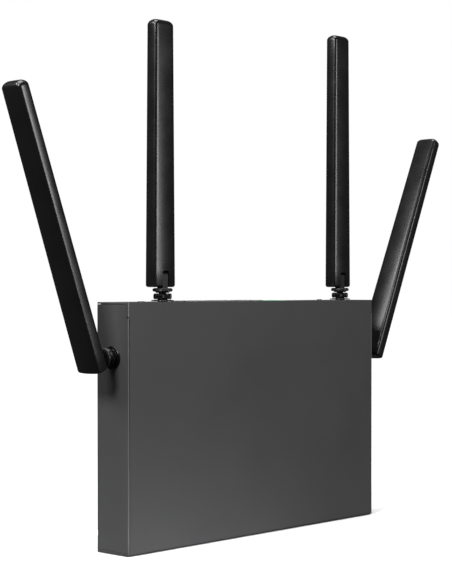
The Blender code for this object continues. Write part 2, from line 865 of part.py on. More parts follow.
def make_light_pipe():
    """One clear bar with a prong down to each window in the bottom edge."""
    margin = 5 * MM
    low = (LED_FIRST_X - margin, LED_Y - LED_PRONG - SHEET, 3.2 * MM)
    high = (LED_FIRST_X + (LED_COUNT - 1) * LED_PITCH + margin, PART_SEAT, 7.2 * MM)
    bar = box("led_light_pipe", low, high, "clear_plastic")
    prongs = [
        cylinder(
            f"add_prong_{i + 1}",
            (LED_FIRST_X + i * LED_PITCH, LED_Y, GAP),
            (0, 0, 1),
            low[2] + SHEET,
            LED_PRONG,
            steps=COARSE_STEPS,
        )
        for i in range(LED_COUNT)
    ]
    fuse(bar, *prongs)


# ---------------------------------------------------------------- antennas


def make_jack(name, mount):
    """The threaded bulkhead jack: barrel outside, flange and crimp ferrule inside."""
    barrel_top = 3.6 * MM
    thread = JACK_RADIUS
    flange_top = -SHEET - GAP
    flange_bottom = flange_top - 2.2 * MM
    body_bottom = -JACK_DEPTH + 3.4 * MM
    profile = [
        (0, barrel_top),
        (thread - GAP, barrel_top),
        (thread, barrel_top - GAP),
        (thread, flange_top),
        (JACK_FLANGE, flange_top),
        (JACK_FLANGE, flange_bottom),
        (thread, flange_bottom),
        (thread, body_bottom),
        (FERRULE_RADIUS, body_bottom),
        (FERRULE_RADIUS, -JACK_DEPTH),
        (0, -JACK_DEPTH),
    ]
    attach(turned(name + "_jack", profile, "brass"), mount)


def make_panel_nut(name, mount):
    outer = 6.75 * MM
    inner = JACK_RADIUS + GAP
    low = GAP
    high = 1.2 * MM
    profile = [
        (inner, high),
        (outer - GAP, high),
        (outer, high - GAP),
        (outer, low),
        (inner, low),
    ]
    attach(turned(name + "_panel_nut", profile, "black_metal", closed=True), mount)


def make_collar(name, mount):
    """The coupling nut, with a lip at its top that holds the base's stem."""
    low = 1.5 * MM
    lip_bottom = COLLAR_TOP - 0.7 * MM
    inner = JACK_RADIUS + GAP
    stem_room = 2.5 * MM
    edge = 0.5 * MM
    profile = [
        (stem_room, COLLAR_TOP),
        (COLLAR_RADIUS - edge, COLLAR_TOP),
        (COLLAR_RADIUS, COLLAR_TOP - edge),
        (COLLAR_RADIUS, low + edge),
        (COLLAR_RADIUS - edge, low),
        (inner, low),
        (inner, lip_bottom),
        (stem_room, lip_bottom),
    ]
    attach(turned(name + "_collar", profile, "black_metal", closed=True), mount)


def make_base(name, swivel):
    """Stem, neck and ring in one turning, with the flat tongue and its two trunnions."""
    stem = 2.2 * MM
    stem_bottom = 3.9 * MM
    neck_bottom = COLLAR_TOP + GAP
    edge = 0.6 * MM
    profile = [
        (0, RING_TOP),
        (RING_RADIUS - edge, RING_TOP),
        (RING_RADIUS, RING_TOP - edge),
        (RING_RADIUS, RING_BOTTOM + edge),
        (RING_RADIUS - edge, RING_BOTTOM),
        (NECK_RADIUS, RING_BOTTOM),
        (NECK_RADIUS, neck_bottom),
        (stem, neck_bottom),
        (stem, stem_bottom),
        (0, stem_bottom),
    ]
    base = attach(turned(name + "_base", profile, "black_plastic"), swivel)
    half = TONGUE_WIDTH / 2
    tongue = box(
        f"add_{name}_tongue",
        (-half, -TONGUE_RADIUS, RING_TOP - SHEET),
        (half, TONGUE_RADIUS, PIVOT_HEIGHT),
    )
    knuckle = cylinder(
        f"add_{name}_knuckle", (-half, 0, PIVOT_HEIGHT), (1, 0, 0), TONGUE_WIDTH, TONGUE_RADIUS
    )
    trunnion = cylinder(
        f"add_{name}_trunnion",
        (-TRUNNION_HALF, 0, PIVOT_HEIGHT),
        (1, 0, 0),
        2 * TRUNNION_HALF,
        TRUNNION_RADIUS,
        steps=SMALL_STEPS,
    )
    for tool in (tongue, knuckle, trunnion):
        attach(tool, swivel)
    fuse(base, tongue, knuckle, trunnion)


def make_paddle(name, tilt, reach):
    """The hollow blade; its own space has the pivot at its origin and the tip up +Z."""
    low = -PADDLE_BELOW_PIVOT
    high = reach
    half_depth = PADDLE_THICKNESS / 2
    bm = bmesh.new()
    size = (PADDLE_WIDTH, PADDLE_THICKNESS, high - low)
    bmesh.ops.create_cube(bm, size=1.0, matrix=Matrix.Diagonal((*size, 1)))
    for vert in bm.verts:
        if vert.co.z > 0:
            vert.co.x *= PADDLE_TAPER
            vert.co.y *= PADDLE_TAPER
    mesh = bpy.data.meshes.new(name + "_paddle")
    bm.to_mesh(mesh)
    bm.free()
    paddle = add_object(name + "_paddle", mesh, "black_plastic")
    middle = (high - low) / 2
    bevel_edges(paddle, PADDLE_CORNER, 4, lambda a, b: abs(a.z - b.z) > middle)
    bevel_edges(paddle, TIP_ROUND, 3, lambda a, b: min(a.z, b.z) > middle - MM)
    bevel_edges(paddle, FOOT_ROUND, 2, lambda a, b: max(a.z, b.z) < -middle + MM)
    for vert in paddle.data.vertices:
        vert.co.z += (high + low) / 2
        vert.co.y += PADDLE_OFFSET
    slot_half = TONGUE_WIDTH / 2 + SLOT_CLEARANCE
    slot_top = TONGUE_RADIUS + SLOT_CLEARANCE
    slot = box(
        f"cut_{name}_slot",
        (-slot_half, -half_depth - MM, low - MM),
        (slot_half, slot_top, slot_top),
    )
    bore_half = TRUNNION_HALF + GAP
    bore = cylinder(
        f"cut_{name}_bore", (-bore_half, 0, 0), (1, 0, 0), 2 * bore_half, TRUNNION_RADIUS + GAP,
        steps=SMALL_STEPS,
    )
    cavity = box(
        f"cut_{name}_cavity",
        (-CAVITY_HALF_WIDTH, PADDLE_OFFSET - CAVITY_HALF_DEPTH, CAVITY_BOTTOM),
        (CAVITY_HALF_WIDTH, PADDLE_OFFSET + CAVITY_HALF_DEPTH, reach - CAVITY_END_WALL),
    )
    channel = cylinder(
        f"cut_{name}_channel",
        (0, SHEET, slot_top - SHEET),
        (0, 0, 1),
        CAVITY_BOTTOM - slot_top + 2 * SHEET,
        CHANNEL_RADIUS,
        steps=COARSE_STEPS,
    )
    for tool in (slot, bore, cavity, channel):
        attach(tool, tilt)
    attach(paddle, tilt)
    cut(paddle, slot, bore, cavity, channel)
    width, thickness, length = RADIATOR_SIZE
    base = CAVITY_BOTTOM + 2 * MM
    attach(
        box(
            name + "_radiator",
            (-width / 2, PADDLE_OFFSET - thickness / 2, base),
            (width / 2, PADDLE_OFFSET + thickness / 2, base + length),
            "green_board",
        ),
        tilt,
    )


def make_pigtail(name, mount, toward_board):
    """A coaxial lead from the jack's ferrule to a small plug on the board's face."""
    route = (
        (JACK_DEPTH + GAP, 0),
        (17.5 * MM, 0),
        (20.0 * MM, 0.15 * MM),
        (22.3 * MM, 0.6 * MM),
        (24.4 * MM, 1.5 * MM),
        (26.2 * MM, 2.7 * MM),
        (27.3 * MM, 3.9 * MM),
        (27.8 * MM, 5.2 * MM),
        (27.8 * MM, 6.0 * MM),
    )
    side = Vector(toward_board)
    points = [side * across - Vector((0, 0, inward)) for inward, across in route]
    cable = add_object(name + "_pigtail", tube_mesh(name + "_pigtail", points, CABLE_RADIUS), "black_rubber")
    attach(cable, mount)
    plug_height = 1.6 * MM
    start = side * (PART_SEAT - plug_height) - Vector((0, 0, route[-1][0]))
    plug = cylinder(f"add_{name}_plug", start, side, plug_height, PLUG_RADIUS, steps=SMALL_STEPS)
    attach(plug, mount)
    fuse(cable, plug)


def make_antenna(name, surface, axes, fold, reach, toward_board):
    """axes are where the mount's own X, Y and Z point; Z leads out of the case."""
    rotation = Matrix(axes).transposed().to_quaternion()
    mount = empty(name + "_mount", surface, rotation)
    swivel = empty(name + "_swivel_axis", (0, 0, 0), Quaternion(), mount)
    lean = Matrix.Rotation(fold, 3, "X").to_quaternion()
    tilt = empty(name + "_tilt_axis", (0, 0, PIVOT_HEIGHT), lean, swivel)
    make_jack(name, mount)
    make_panel_nut(name, mount)
    make_collar(name, mount)
    make_base(name, swivel)
    make_paddle(name, tilt, reach)
    make_pigtail(name, mount, toward_board)


def make_antennas():
    upright = ((1, 0, 0), (0, 1, 0), (0, 0, 1))
    out_left = ((0, 1, 0), (0, 0, -1), (-1, 0, 0))
    out_right = ((0, -1, 0), (0, 0, -1), (1, 0, 0))
    side_left = (-HALF_WIDTH, 0, SIDE_ANTENNA_Z)
    side_right = (HALF_WIDTH, 0, SIDE_ANTENNA_Z)
    top_left = (TOP_ANTENNA_LEFT_X, 0, HEIGHT)
    top_right = (TOP_ANTENNA_RIGHT_X, 0, HEIGHT)
    make_antenna("antenna_left", side_left, out_left, LEFT_FOLD, LONG_REACH, (1, 0, 0))
    make_antenna("antenna_top_left", top_left, upright, 0, SHORT_REACH, (0, 1, 0))
    make_antenna("antenna_top_right", top_right, upright, 0, LONG_REACH, (0, 1, 0))
    make_antenna("antenna_right", side_right, out_right, RIGHT_FOLD, LONG_REACH, (-1, 0, 0))


def build():
    make_chassis_pan()
    make_front_cover()
    make_port_panel()
    make_case_fasteners()
    make_feet()
    make_board()
    make_socket_block()
    make_optical_port()
    make_usb_port()
    make_power_jack()
    make_buttons()
    make_board_parts()
    make_light_pipe()
    make_antennas()
    bpy.context.view_layer.update()


build()
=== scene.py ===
import json
import math

import bmesh
import bpy
from mathutils import Matrix, Vector


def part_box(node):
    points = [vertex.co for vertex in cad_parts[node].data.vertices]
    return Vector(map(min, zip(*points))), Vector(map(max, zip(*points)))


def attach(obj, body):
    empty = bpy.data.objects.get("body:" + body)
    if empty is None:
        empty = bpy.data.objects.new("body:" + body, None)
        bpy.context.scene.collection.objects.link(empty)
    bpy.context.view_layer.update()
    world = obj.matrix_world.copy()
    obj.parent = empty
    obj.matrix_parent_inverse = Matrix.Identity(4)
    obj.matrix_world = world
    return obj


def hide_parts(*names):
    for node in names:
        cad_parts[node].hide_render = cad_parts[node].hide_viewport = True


# Optical network terminal on a pale studio floor. Metres, +Z up, the plain cover towards -Y.

MM = 0.001
UP = Vector((0, 0, 1))

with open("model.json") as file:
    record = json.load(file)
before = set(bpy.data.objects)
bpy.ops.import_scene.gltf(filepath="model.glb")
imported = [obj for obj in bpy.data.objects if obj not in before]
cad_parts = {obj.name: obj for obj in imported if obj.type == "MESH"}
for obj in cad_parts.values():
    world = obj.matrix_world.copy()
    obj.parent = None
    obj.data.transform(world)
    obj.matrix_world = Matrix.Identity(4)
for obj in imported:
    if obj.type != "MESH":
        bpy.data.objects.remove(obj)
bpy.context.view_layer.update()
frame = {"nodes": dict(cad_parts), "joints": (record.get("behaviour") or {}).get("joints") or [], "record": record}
NODES = frame["nodes"]
BODY_OF = {n: body for body, names in frame["record"]["behaviour"]["bodies"].items() for n in names}
SLOT_OF = {entry["node"]: entry["material_slot"] for entry in frame["record"]["subparts"]}
JOINTS = {joint["name"]: joint for joint in frame["joints"]}

ANTENNAS = ("antenna_left", "antenna_top_left", "antenna_top_right", "antenna_right")


# ---------------------------------------------------------------- materials


class Surface:
    """A Principled material and short ways to add procedural detail to it."""

    def __init__(self, name, color, roughness, metallic=0.0):
        self.material = bpy.data.materials.new(name)
        self.material.use_nodes = True
        self.nodes = self.material.node_tree.nodes
        self.links = self.material.node_tree.links
        self.shader = self.nodes["Principled BSDF"]
        self.color = color
        self.roughness = roughness
        self.shader.inputs["Metallic"].default_value = metallic
        self.place = self.nodes.new("ShaderNodeTexCoord").outputs["Object"]
        self.normal = None

    def set(self, **values):
        for name, value in values.items():
            self.shader.inputs[name.replace("_", " ")].default_value = value
        return self

    def stretched(self, scale):
        """The place on the object, with each axis scaled by its own amount."""
        mapping = self.nodes.new("ShaderNodeMapping")
        mapping.inputs["Scale"].default_value = scale
        self.links.new(self.place, mapping.inputs["Vector"])
        return mapping.outputs["Vector"]

    def noise(self, scale, detail=3.0, roughness=0.55, place=None):
        node = self.nodes.new("ShaderNodeTexNoise")
        node.inputs["Scale"].default_value = scale
        node.inputs["Detail"].default_value = detail
        node.inputs["Roughness"].default_value = roughness
        self.links.new(place or self.place, node.inputs["Vector"])
        return node.outputs["Fac"]

    def ranged(self, value, low, high, start=0.3, end=0.7):
        node = self.nodes.new("ShaderNodeMapRange")
        node.inputs["From Min"].default_value = start
        node.inputs["From Max"].default_value = end
        node.inputs["To Min"].default_value = low
        node.inputs["To Max"].default_value = high
        self.links.new(value, node.inputs["Value"])
        return node.outputs["Result"]

    def tint(self, value, other, low=0.0, high=1.0, start=0.3, end=0.7):
        """Blends the base colour towards another one where the value is high."""
        node = self.nodes.new("ShaderNodeMix")
        node.data_type = "RGBA"
        fac, _, _, _, _, _, first, second = node.inputs[:8]
        self.links.new(self.ranged(value, low, high, start, end), fac)
        if isinstance(self.color, bpy.types.NodeSocket):
            self.links.new(self.color, first)
        else:
            first.default_value = (*self.color, 1)
        second.default_value = (*other, 1)
        self.color = node.outputs[2]
        return self

    def rough(self, value, spread, start=0.3, end=0.7):
        low = max(0.02, self.roughness - spread)
        self.links.new(
            self.ranged(value, low, self.roughness + spread, start, end),
            self.shader.inputs["Roughness"],
        )
        return self

    def bump(self, value, height, strength=1.0):
        node = self.nodes.new("ShaderNodeBump")
        node.inputs["Strength"].default_value = strength
        node.inputs["Distance"].default_value = height
        self.links.new(value, node.inputs["Height"])
        if self.normal:
            self.links.new(self.normal, node.inputs["Normal"])
        self.normal = node.outputs["Normal"]
        return self

    def edges(self):
        """Mask for the painted edge highlight: 1 on faces square to the piece's axes, down to 0.7 on its upright
        rounded edges.
        """
        size = self.nodes.new("ShaderNodeVectorMath")
        size.operation = "ABSOLUTE"
        parts = self.nodes.new("ShaderNodeSeparateXYZ")
        normal = self.nodes.new("ShaderNodeTexCoord").outputs["Normal"]
        self.links.new(normal, size.inputs[0])
        self.links.new(size.outputs["Vector"], parts.inputs["Vector"])
        larger = self.nodes.new("ShaderNodeMath")
        larger.operation = "MAXIMUM"
        self.links.new(parts.outputs["X"], larger.inputs[0])
        self.links.new(parts.outputs["Y"], larger.inputs[1])
        upright = self.nodes.new("ShaderNodeMath")
        upright.operation = "MULTIPLY_ADD"
        self.links.new(parts.outputs["Z"], upright.inputs[0])
        upright.inputs[1].default_value = 4.0
        self.links.new(larger.outputs["Value"], upright.inputs[2])
        return upright.outputs["Value"]

    def done(self):
        if isinstance(self.color, bpy.types.NodeSocket):
            self.links.new(self.color, self.shader.inputs["Base Color"])
        else:
            self.shader.inputs["Base Color"].default_value = (*self.color, 1)
        if not self.shader.inputs["Roughness"].is_linked:
            self.shader.inputs["Roughness"].default_value = self.roughness
        if self.normal:
            self.links.new(self.normal, self.shader.inputs["Normal"])
        return self.material


def case_paint():
    """Fine satin powder coat: orange-peel ripple, tiny grains and faint handling marks, with a painted highlight: a
    much lighter colour along its upright rounded edges.
    """
    s = Surface("case_paint", (0.052, 0.052, 0.054), 0.46, 0.0)
    s.set(Specular_IOR_Level=0.42)
    peel = s.noise(900, 2.0)
    grain = s.noise(4200, 2.0, 0.7)
    cloud = s.noise(14, 4.0, 0.6)
    s.tint(cloud, (0.060, 0.060, 0.061))
    s.tint(grain, (0.075, 0.075, 0.077), 0.0, 0.5, 0.55, 0.8)
    # painted highlight: the upright rounded edges get a much lighter colour, standing in for the bright line that
    # light draws along them
    s.tint(s.edges(), (0.19, 0.19, 0.195), 0.0, 1.0, 0.985, 0.85)
    s.rough(cloud, 0.05)
    s.bump(peel, 0.00002, 0.5)
    s.bump(grain, 0.00001, 0.45)
    return s.done()


def antenna_plastic():
    """Satin black moulded plastic with a fine spark texture and faint flow along its length."""
    s = Surface("antenna_plastic", (0.0045, 0.0045, 0.0048), 0.27)
    s.set(Specular_IOR_Level=0.5)
    spark = s.noise(5200, 2.0, 0.6)
    flow = s.noise(60, 3.0)
    s.tint(flow, (0.0060, 0.0060, 0.0063))
    s.rough(flow, 0.04)
    s.bump(spark, 0.000002, 0.12)
    return s.done()


def knuckle_plastic():
    s = Surface("knuckle_plastic", (0.009, 0.009, 0.0095), 0.34)
    spark = s.noise(3800, 2.0, 0.6)
    s.tint(s.noise(300, 3.0), (0.014, 0.014, 0.0145))
    s.rough(spark, 0.06)
    s.bump(spark, 0.00001, 0.4)
    return s.done()


def black_metal():
    """Black plated steel with fine turning marks and slightly brighter worn spots."""
    s = Surface("black_metal", (0.020, 0.020, 0.021), 0.24, 0.85)
    turning = s.noise(2600, 2.0, 0.5)
    wear = s.noise(420, 4.0, 0.7)
    s.tint(wear, (0.070, 0.068, 0.066), 0.0, 0.6, 0.58, 0.78)
    s.rough(turning, 0.08)
    s.bump(turning, 0.000006, 0.5)
    return s.done()


def gold_plate():
    s = Surface("gold_plate", (0.83, 0.62, 0.28), 0.22, 1.0)
    dull = s.noise(700, 3.0)
    s.tint(dull, (0.70, 0.50, 0.22))
    s.rough(dull, 0.08)
    s.bump(s.noise(3000, 2.0), 0.000004, 0.4)
    return s.done()


def brushed(name, color, dark, roughness, stretch):
    """Bare metal brushed along one axis, with soft stains."""
    s = Surface(name, color, roughness, 1.0)
    lines = s.noise(1.0, 3.0, 0.6, s.stretched(stretch))
    stain = s.noise(55, 4.0, 0.65)
    s.tint(stain, dark)
    s.rough(lines, 0.10)
    s.bump(lines, 0.000006, 0.5)
    return s.done()


def bare_steel():
    return brushed("bare_steel", (0.60, 0.60, 0.61), (0.47, 0.47, 0.48), 0.27, (120, 2600, 2600))


def screw_steel():
    return brushed("screw_steel", (0.50, 0.50, 0.51), (0.36, 0.36, 0.37), 0.33, (1600, 1600, 1600))


def heatsink_aluminium():
    return brushed("heatsink_aluminium", (0.42, 0.42, 0.43), (0.33, 0.33, 0.34), 0.40, (2400, 2400, 90))


def circuit_board():
    """Green solder resist with copper runs showing through it."""
    s = Surface("circuit_board", (0.012, 0.075, 0.035), 0.36)
    runs = s.nodes.new("ShaderNodeTexBrick")
    runs.inputs["Scale"].default_value = 210
    runs.inputs["Mortar Size"].default_value = 0.09
    runs.inputs["Color1"].default_value = (0, 0, 0, 1)
    runs.inputs["Color2"].default_value = (0, 0, 0, 1)
    runs.inputs["Mortar"].default_value = (1, 1, 1, 1)
    turn = s.nodes.new("ShaderNodeMapping")
    turn.inputs["Rotation"].default_value = (math.radians(90), 0, 0)
    s.links.new(s.place, turn.inputs["Vector"])
    s.links.new(turn.outputs["Vector"], runs.inputs["Vector"])
    s.tint(runs.outputs["Color"], (0.030, 0.150, 0.060), 0.0, 0.8, 0.2, 0.8)
    s.rough(s.noise(500, 3.0), 0.06)
    s.bump(runs.outputs["Color"], 0.00003, 0.6)
    return s.done()


def moulded(name, color, light, roughness, fine=2400):
    s = Surface(name, color, roughness)
    spark = s.noise(fine, 2.0, 0.6)
    s.tint(s.noise(90, 3.0), light)
    s.rough(spark, 0.06)
    s.bump(spark, 0.000012, 0.45)
    return s.done()


def black_plastic():
    return moulded("black_plastic", (0.012, 0.012, 0.013), (0.020, 0.020, 0.021), 0.42)


def green_plastic():
    return moulded("green_plastic", (0.020, 0.260, 0.095), (0.032, 0.310, 0.120), 0.36)


def white_plastic():
    return moulded("white_plastic", (0.74, 0.74, 0.72), (0.80, 0.80, 0.79), 0.38)


def clear_plastic():
    """Light-pipe polycarbonate, faintly frosted."""
    s = Surface("clear_plastic", (0.80, 0.83, 0.82), 0.20)
    s.set(Transmission_Weight=0.55, IOR=1.58)
    frost = s.noise(1500, 3.0)
    s.tint(frost, (0.72, 0.76, 0.76))
    s.rough(frost, 0.08)
    s.bump(frost, 0.00001, 0.3)
    return s.done()


def black_rubber():
    s = Surface("black_rubber", (0.014, 0.014, 0.014), 0.80)
    s.set(Specular_IOR_Level=0.25)
    skin = s.noise(1900, 4.0, 0.65)
    s.tint(s.noise(240, 4.0, 0.7), (0.034, 0.033, 0.032), 0.0, 0.8, 0.5, 0.8)
    s.rough(skin, 0.08)
    s.bump(skin, 0.00004, 0.6)
    return s.done()


def amber_lens():
    return moulded("amber_lens", (0.62, 0.36, 0.05), (0.70, 0.44, 0.08), 0.22)


def green_lens():
    return moulded("green_lens", (0.16, 0.42, 0.10), (0.22, 0.50, 0.14), 0.22)


MATERIALS = {
    "case_paint": case_paint(),
    "antenna_plastic": antenna_plastic(),
    "black_metal": black_metal(),
    "jack_brass": gold_plate(),
    "bare_steel": bare_steel(),
    "screw_steel": screw_steel(),
    "heatsink_aluminium": heatsink_aluminium(),
    "circuit_board": circuit_board(),
    "black_plastic": black_plastic(),
    "green_plastic": green_plastic(),
    "white_plastic": white_plastic(),
    "clear_plastic": clear_plastic(),
    "black_rubber": black_rubber(),
}
KNUCKLE = knuckle_plastic()
AMBER = amber_lens()
GREEN_LENS = green_lens()


# ---------------------------------------------------------------- making pieces


def add_piece(name, mesh, body, material, slot, *replaced):
    """Puts a finished mesh in the scene on its CAD body."""
    piece = bpy.data.objects.new(name, mesh)
    bpy.context.scene.collection.objects.link(piece)
    mesh.materials.clear()
    mesh.materials.append(material)
    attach(piece, body)
    if replaced:
        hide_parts(*replaced)
    return piece


def mesh_from(bm, name, sharp=30):
    """Shades a bmesh smooth, but keeps its sharp edges, and turns it into a mesh."""
    limit = math.radians(sharp)
    for face in bm.faces:
        face.smooth = True
    for edge in bm.edges:
        edge.smooth = len(edge.link_faces) != 2 or edge.calc_face_angle(0) < limit
    mesh = bpy.data.meshes.new(name)
    bm.to_mesh(mesh)
    bm.free()
    return mesh


def soften(piece, width, segments=2, angle=30):
    """Rounds the piece's sharp edges."""
    bevel = piece.modifiers.new("Rounded edges", "BEVEL")
    bevel.width = width
    bevel.segments = segments
    bevel.limit_method = "ANGLE"
    bevel.angle_limit = math.radians(angle)
    bevel.use_clamp_overlap = True
    bevel.harden_normals = True
    bevel.miter_outer = "MITER_ARC"
    return piece


CORNER_FRONT = 0.6 * MM
CORNER_BACK = 1.2 * MM


def round_cover(bm, high):
    """Rounds the upright edges of the cover at the outer corners of the case."""
    for depth, radius in ((-high.y, CORNER_FRONT), (high.y, CORNER_BACK)):
        corner = Vector((high.x, depth))
        edges = []
        for edge in bm.edges:
            spots = [Vector((abs(v.co.x), v.co.y)) for v in edge.verts]
            if edge.calc_length() < 20 * MM and all((spot - corner).length < 0.02 * MM for spot in spots):
                edges.append(edge)
        bmesh.ops.bevel(bm, geom=edges, offset=radius, segments=4, profile=0.5, affect="EDGES")


def round_panel(bm, high):
    """Draws the panel's rear corners in to the bend of the pan below it."""
    middle = Vector((high.x - CORNER_BACK, high.y - CORNER_BACK))
    for vert in bm.verts:
        out = Vector((abs(vert.co.x), vert.co.y)) - middle
        if min(out) > 0 and out.length > CORNER_BACK:
            out = middle + out.normalized() * CORNER_BACK
            vert.co.x = math.copysign(out.x, vert.co.x)
            vert.co.y = out.y


def carried(node, width, segments=2, flat=True, corners=None):
    """The CAD node's own shape with rounded edges, in its own material.

    flat joins the triangles of each plane into one face, which a face full of slots can't be.
    """
    bm = bmesh.new()
    bm.from_mesh(NODES[node].data)
    bmesh.ops.remove_doubles(bm, verts=bm.verts, dist=0.000002)
    if flat:
        bmesh.ops.dissolve_limit(
            bm, angle_limit=math.radians(0.5), verts=bm.verts, edges=bm.edges, use_dissolve_boundaries=False
        )
    if corners:
        corners(bm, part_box("front_cover")[1])
    mesh = mesh_from(bm, node + "_fine")
    slot = SLOT_OF[node]
    piece = add_piece(node + "_fine", mesh, BODY_OF[node], MATERIALS[slot], slot, node)
    soften(piece, width, segments)
    even = piece.modifiers.new("Even shading", "WEIGHTED_NORMAL")
    even.mode = "FACE_AREA"
    even.weight = 100
    even.keep_sharp = True
    return piece


def dress_nodes():
    """Every CAD node starts with its slot's procedural material."""
    for name, obj in NODES.items():
        obj.data.materials.clear()
        obj.data.materials.append(MATERIALS[SLOT_OF[name]])


def ring_mesh(bm, profile, place, steps=72, closed=False):
    """Turns (radius, height) points about Z into faces, in a given place."""
    rings = []
    for radius, height in profile:
        if radius == 0:
            rings.append([bm.verts.new(place @ Vector((0, 0, height)))])
            continue
        ring = []
        for i in range(steps):
            angle = math.tau * i / steps
            ring.append(bm.verts.new(place @ Vector((radius * math.cos(angle), radius * math.sin(angle), height))))
        rings.append(ring)
    pairs = list(zip(rings, rings[1:]))
    if closed:
        pairs.append((rings[-1], rings[0]))
    for upper, lower in pairs:
        for i in range(steps):
            j = (i + 1) % steps
            corners = [upper[i % len(upper)], lower[i % len(lower)], lower[j % len(lower)], upper[j % len(upper)]]
            unique = list(dict.fromkeys(corners))
            bm.faces.new(unique)


def turned(name, profile, place, closed=False, steps=72):
    bm = bmesh.new()
    ring_mesh(bm, profile, place, steps, closed)
    bmesh.ops.recalc_face_normals(bm, faces=bm.faces)
    return mesh_from(bm, name)


def rounded(points, radius, segments=3):
    """Replaces each inner corner of an open profile by a short arc."""
    result = [points[0]]
    for before, corner, after in zip(points, points[1:], points[2:]):
        here = Vector(corner)
        to_before = Vector(before) - here
        to_after = Vector(after) - here
        reach = min(radius, to_before.length * 0.45, to_after.length * 0.45)
        start = here + to_before.normalized() * reach
        end = here + to_after.normalized() * reach
        for i in range(segments + 1):
            t = i / segments
            result.append(tuple(start * (1 - t) ** 2 + here * (2 * t * (1 - t)) + end * t**2))
    result.append(points[-1])
    return result


def add_box(bm, low, high):
    low = Vector(low)
    high = Vector(high)
    place = Matrix.Translation((low + high) / 2) @ Matrix.Diagonal((*(high - low), 1))
    return bmesh.ops.create_cube(bm, size=1.0, matrix=place)["verts"]


def applied(piece):
    """Bakes a piece's modifiers into its mesh."""
    bpy.context.view_layer.update()
    depsgraph = bpy.context.evaluated_depsgraph_get()
    mesh = bpy.data.meshes.new_from_object(piece.evaluated_get(depsgraph))
    old = piece.data
    piece.modifiers.clear()
    piece.data = mesh
    bpy.data.meshes.remove(old)
    return piece


def carve(mesh, tools):
    """Cuts tool meshes out of a mesh and gives back the result."""
    holder = bpy.data.objects.new("carved", mesh)
    bpy.context.scene.collection.objects.link(holder)
    cutters = []
    for i, tool in enumerate(tools):
        cutter = bpy.data.objects.new(f"carver_{i}", tool)
        bpy.context.scene.collection.objects.link(cutter)
        modifier = holder.modifiers.new(f"cut_{i}", "BOOLEAN")
        modifier.operation = "DIFFERENCE"
        modifier.solver = "EXACT"
        modifier.object = cutter
        cutters.append(cutter)
    applied(holder)
    result = holder.data
    bpy.data.objects.remove(holder)
    for cutter in cutters:
        tool = cutter.data
        bpy.data.objects.remove(cutter)
        bpy.data.meshes.remove(tool)
    return result


# ---------------------------------------------------------------- case


def make_case():
    carried("chassis_pan", 0.16 * MM, 2, flat=False)
    carried("front_cover", 0.3 * MM, 3, corners=round_cover)
    carried("port_panel", 0.22 * MM, 2, corners=round_panel)
    for side in ("left", "right"):
        carried("cover_screw_" + side, 0.12 * MM, 2)
        for row in ("lower", "upper"):
            make_foot(f"rubber_foot_{row}_{side}")
            carried(f"board_screw_{row}_{side}", 0.12 * MM, 2)


def make_foot(node):
    """A round foot with a soft edge and a shallow moulded ring."""
    low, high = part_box(node)
    radius = (high.x - low.x) / 2
    height = high.y - low.y
    center = Vector(((low.x + high.x) / 2, low.y, (low.z + high.z) / 2))
    place = Matrix.Translation(center) @ UP.rotation_difference(Vector((0, 1, 0))).to_matrix().to_4x4()
    dish = 0.25 * MM
    profile = rounded(
        [
            (0, height),
            (radius * 0.45, height),
            (radius * 0.52, height - dish),
            (radius * 0.60, height - dish),
            (radius * 0.67, height),
            (radius * 0.90, height),
            (radius, height * 0.55),
            (radius, 0),
            (0, 0),
        ],
        0.4 * MM,
    )
    mesh = turned(node + "_fine", profile, place)
    add_piece(node + "_fine", mesh, BODY_OF[node], MATERIALS["black_rubber"], "black_rubber", node)


# ---------------------------------------------------------------- ports


SOCKET_PITCH_COUNT = 4
SOCKET_WIDTH = 11.8 * MM
SOCKET_HEIGHT = 7.0 * MM
SOCKET_DEPTH = 15.0 * MM
SOCKET_Y = 0.4 * MM
CONTACT_PITCH = 1.02 * MM


def make_sockets():
    carried("network_jack_block", 0.18 * MM, 2)
    low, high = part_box("network_jack_block")
    pitch = (high.x - low.x) / SOCKET_PITCH_COUNT
    for i in range(SOCKET_PITCH_COUNT):
        x = low.x + (i + 0.5) * pitch
        make_socket_liner(i + 1, x, high.z)
        make_socket_contacts(i + 1, x, high.z)
        make_socket_lamps(i + 1, x, high.z)


def make_socket_liner(number, x, top):
    """The black insert that lines a socket: two cheeks, a back and a floor."""
    wall = 0.35 * MM
    half = SOCKET_WIDTH / 2
    low_y = SOCKET_Y - SOCKET_HEIGHT / 2
    high_y = SOCKET_Y + SOCKET_HEIGHT / 2
    floor = top - SOCKET_DEPTH
    lip = top - 0.25 * MM
    bm = bmesh.new()
    add_box(bm, (x - half, low_y, floor), (x - half + wall, high_y, lip))
    add_box(bm, (x + half - wall, low_y, floor), (x + half, high_y, lip))
    add_box(bm, (x - half + wall, high_y - wall, floor), (x + half - wall, high_y, lip))
    add_box(bm, (x - half + wall, low_y, floor), (x + half - wall, high_y - wall, floor + wall))
    comb = 0.16 * MM
    for i in range(9):
        rib_x = x + (i - 4) * CONTACT_PITCH
        add_box(
            bm,
            (rib_x - comb, high_y - 1.9 * MM, top - 7.5 * MM),
            (rib_x + comb, high_y - wall, top - 6.2 * MM),
        )
    name = f"socket_liner_{number}"
    add_piece(name, mesh_from(bm, name), "case", MATERIALS["black_plastic"], "black_plastic")


